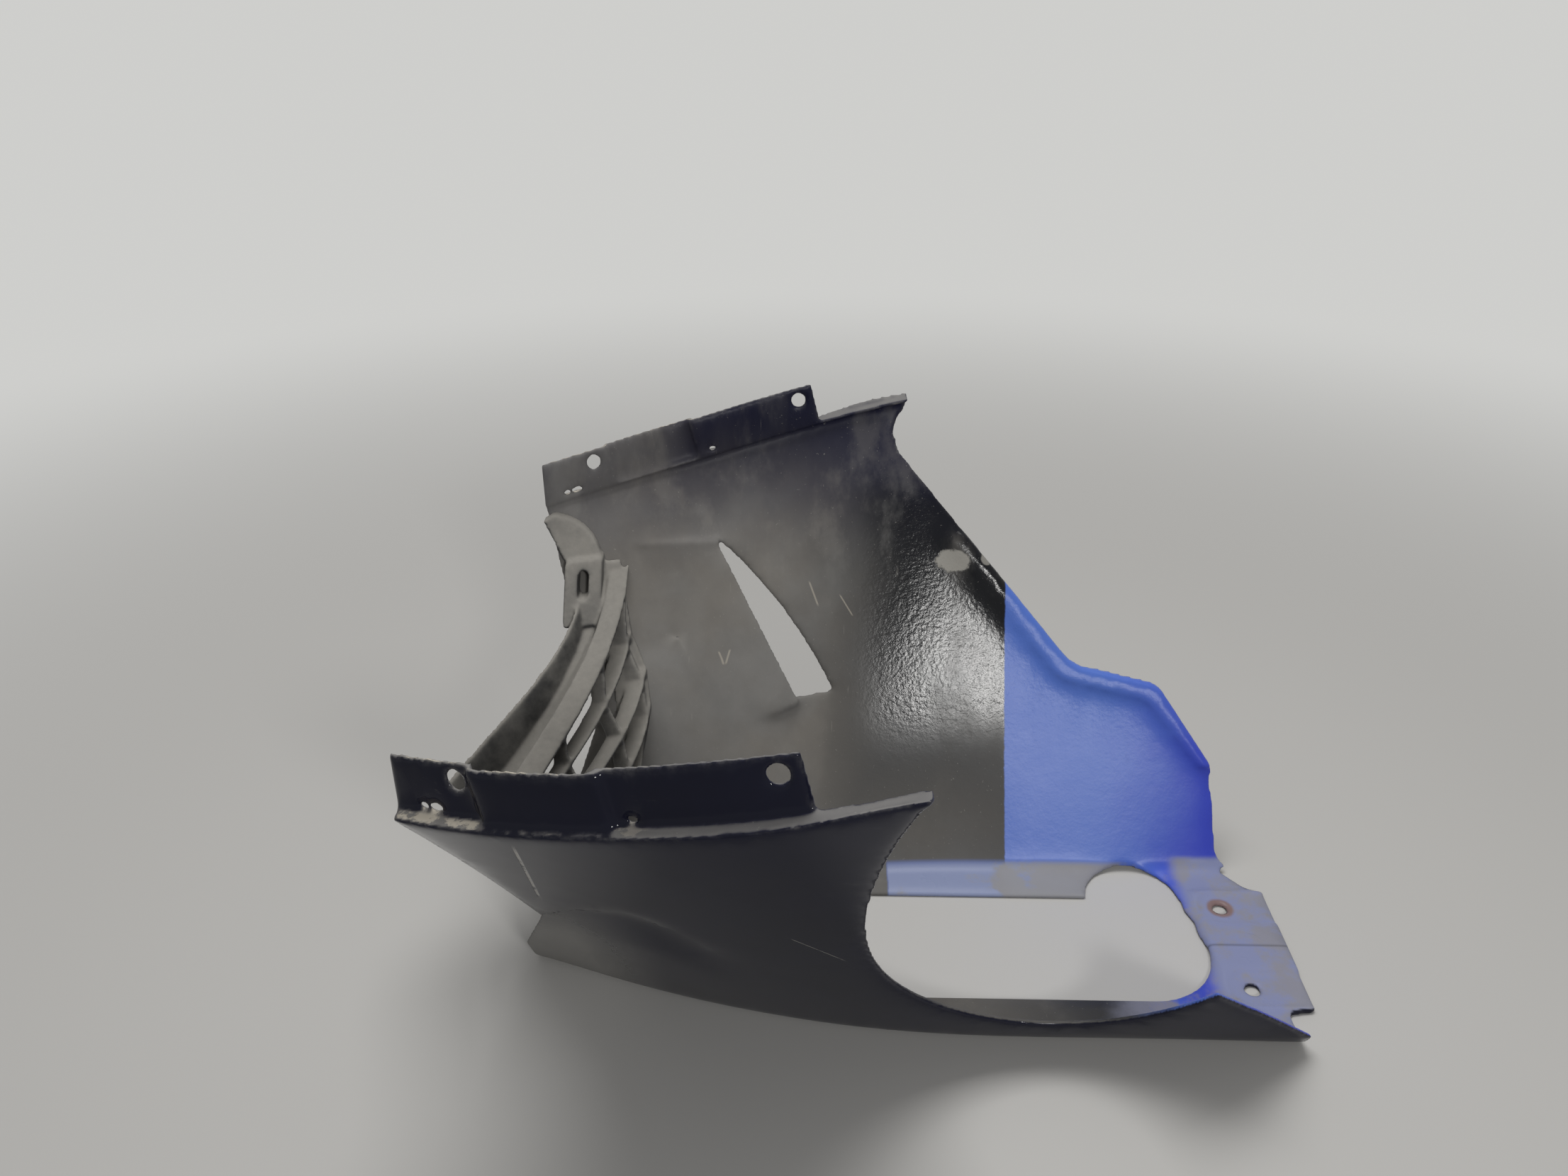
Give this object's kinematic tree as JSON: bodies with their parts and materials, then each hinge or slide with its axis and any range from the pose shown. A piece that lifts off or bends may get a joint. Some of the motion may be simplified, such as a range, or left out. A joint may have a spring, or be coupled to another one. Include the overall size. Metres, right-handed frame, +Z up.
{
  "type": "motorcycle fairing",
  "caption": "Lower motorcycle fairing: a painted belly pan with flanged walls, a bottom opening and a rear tab, and a curved air grille across its front.",
  "frame": {"origin": "under the middle of the part, on the floor it rests on", "axes": "+X to the rear of the motorcycle, +Y to its right, +Z up"},
  "size_m": [0.522, 0.4659, 0.2987],
  "materials": {
    "painted_shell": "black paint over blue plastic, worn and dusty",
    "grille_plastic": "unpainted black plastic, dusty"
  },
  "bodies": {
    "root": {"belly_pan": "painted_shell", "front_grille": "grille_plastic"}
  },
  "joints": []
}
